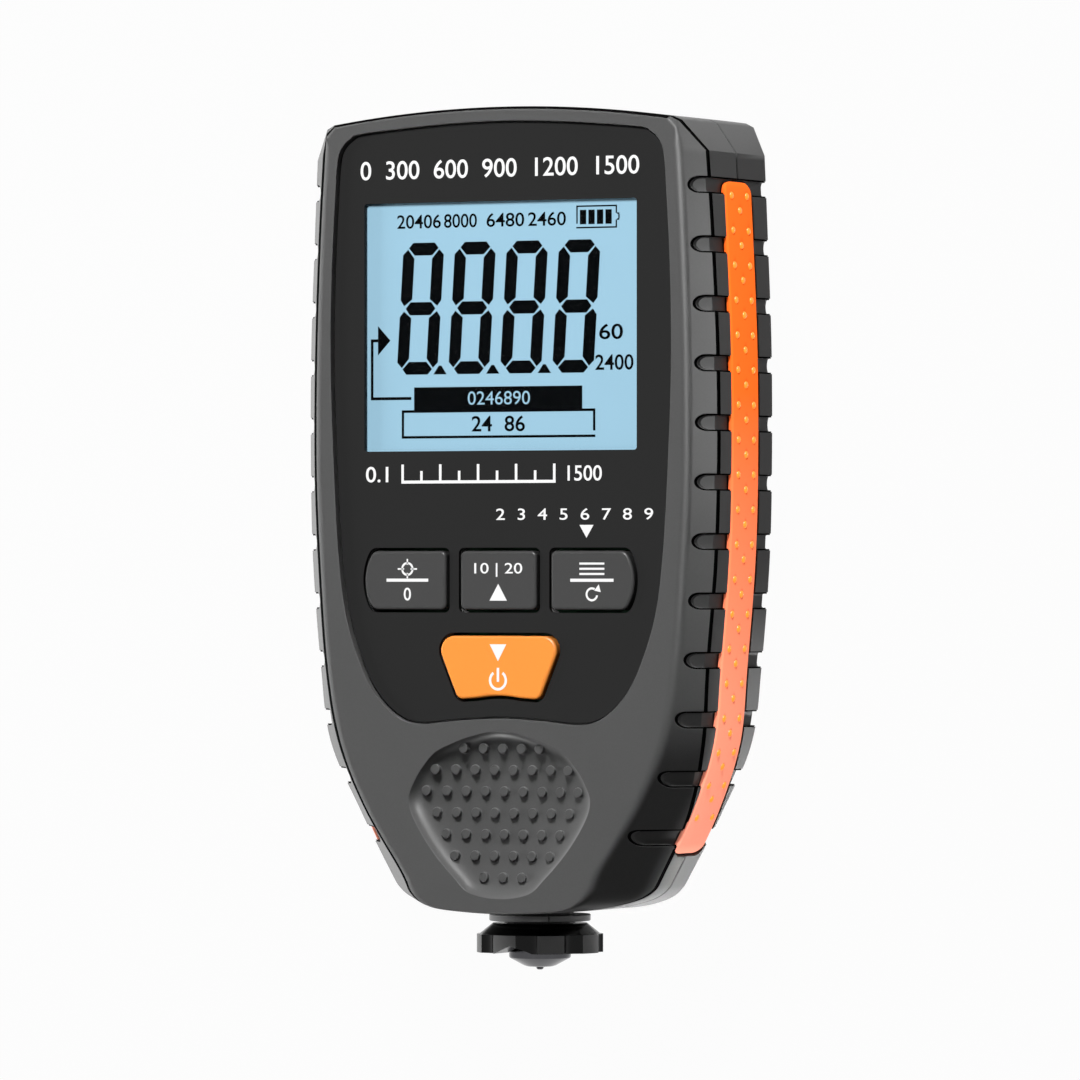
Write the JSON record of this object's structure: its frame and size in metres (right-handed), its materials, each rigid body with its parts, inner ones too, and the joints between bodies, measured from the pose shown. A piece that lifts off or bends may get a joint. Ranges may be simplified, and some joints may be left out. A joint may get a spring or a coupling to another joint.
{
  "type": "coating thickness gauge",
  "caption": "Hand-held coating thickness gauge with a sprung measuring probe, a segment display, push keys, soft side grips and a hinged battery door.",
  "frame": {"origin": "centre of the bounding box, at the back face that the gauge lies on", "axes": "+Z out of the display face, +Y along the length towards the display end, probe at -Y, +X to the right of the display"},
  "size_m": [0.0636, 0.1178, 0.0238],
  "materials": {
    "shell_grey": "fine matte texture",
    "grip_orange": "soft satin",
    "panel_black": "satin with printed marks",
    "key_grey": "satin",
    "key_orange": "satin",
    "lens_clear": "clear",
    "lcd_blue": "satin",
    "white_plastic": "plain",
    "black_plastic": "plain",
    "guard_black": "polished",
    "board_green": "solder mask",
    "steel": "plated",
    "chrome": "polished",
    "copper": "enamelled wire",
    "cell_jacket": "plain printed jacket",
    "rubber_black": "matte"
  },
  "bodies": {
    "housing": {"backlight_panel": "white_plastic", "board_screw_1": "steel", "board_screw_2": "steel", "board_screw_3": "steel", "board_screw_4": "steel", "board_socket": "white_plastic", "bridge_plate": "steel", "buzzer": "black_plastic", "cable_plug": "white_plastic", "case_screw_1": "steel", "case_screw_2": "steel", "case_screw_3": "steel", "case_screw_4": "steel", "cell_left": "cell_jacket", "cell_right": "cell_jacket", "cell_spring_left": "steel", "cell_spring_right": "steel", "contact_plate_left": "steel", "contact_plate_right": "steel", "controller_chip": "black_plastic", "display_window": "lens_clear", "front_panel": "panel_black", "front_shell": "shell_grey", "lcd_frame": "white_plastic", "lcd_glass": "lcd_blue", "main_board": "board_green", "mode_switch_base": "black_plastic", "power_switch_base": "black_plastic", "probe_cable": "rubber_black", "probe_guard": "guard_black", "probe_neck_ring": "shell_grey", "probe_sleeve": "black_plastic", "probe_spring": "steel", "rear_shell": "shell_grey", "side_grip_left": "grip_orange", "side_grip_right": "grip_orange", "unit_switch_base": "black_plastic", "zebra_strip": "rubber_black", "zero_switch_base": "black_plastic"},
    "zero_button": {"zero_key": "key_grey", "zero_switch_plunger": "white_plastic"},
    "unit_button": {"unit_key": "key_grey", "unit_switch_plunger": "white_plastic"},
    "mode_button": {"mode_key": "key_grey", "mode_switch_plunger": "white_plastic"},
    "power_button": {"power_key": "key_orange", "power_switch_plunger": "white_plastic"},
    "probe": {"probe_tip": "chrome", "probe_coil": "copper", "probe_core": "steel"},
    "door": {"battery_cover": "shell_grey"}
  },
  "joints": [
    {"name": "zero_press", "type": "slide", "parent": "housing", "child": "zero_button", "axis": [0, 0, -1], "range_m": [0, 0.0005], "stiffness_N_per_m": 2000},
    {"name": "unit_press", "type": "slide", "parent": "housing", "child": "unit_button", "axis": [0, 0, -1], "range_m": [0, 0.0005], "stiffness_N_per_m": 2000},
    {"name": "mode_press", "type": "slide", "parent": "housing", "child": "mode_button", "axis": [0, 0, -1], "range_m": [0, 0.0005], "stiffness_N_per_m": 2000},
    {"name": "power_press", "type": "slide", "parent": "housing", "child": "power_button", "axis": [0, 0, -1], "range_m": [0, 0.0005], "stiffness_N_per_m": 2000},
    {"name": "probe_slide", "type": "slide", "parent": "housing", "child": "probe", "axis": [0, 1, 0], "range_m": [0, 0.00245], "stiffness_N_per_m": 300, "deforming": ["probe_spring"]},
    {"name": "battery_cover_hinge", "type": "hinge", "parent": "housing", "child": "door", "pos_m": [0, -0.03705, 0.00115], "axis": [-1, 0, 0], "range_deg": [0, 70]}
  ]
}
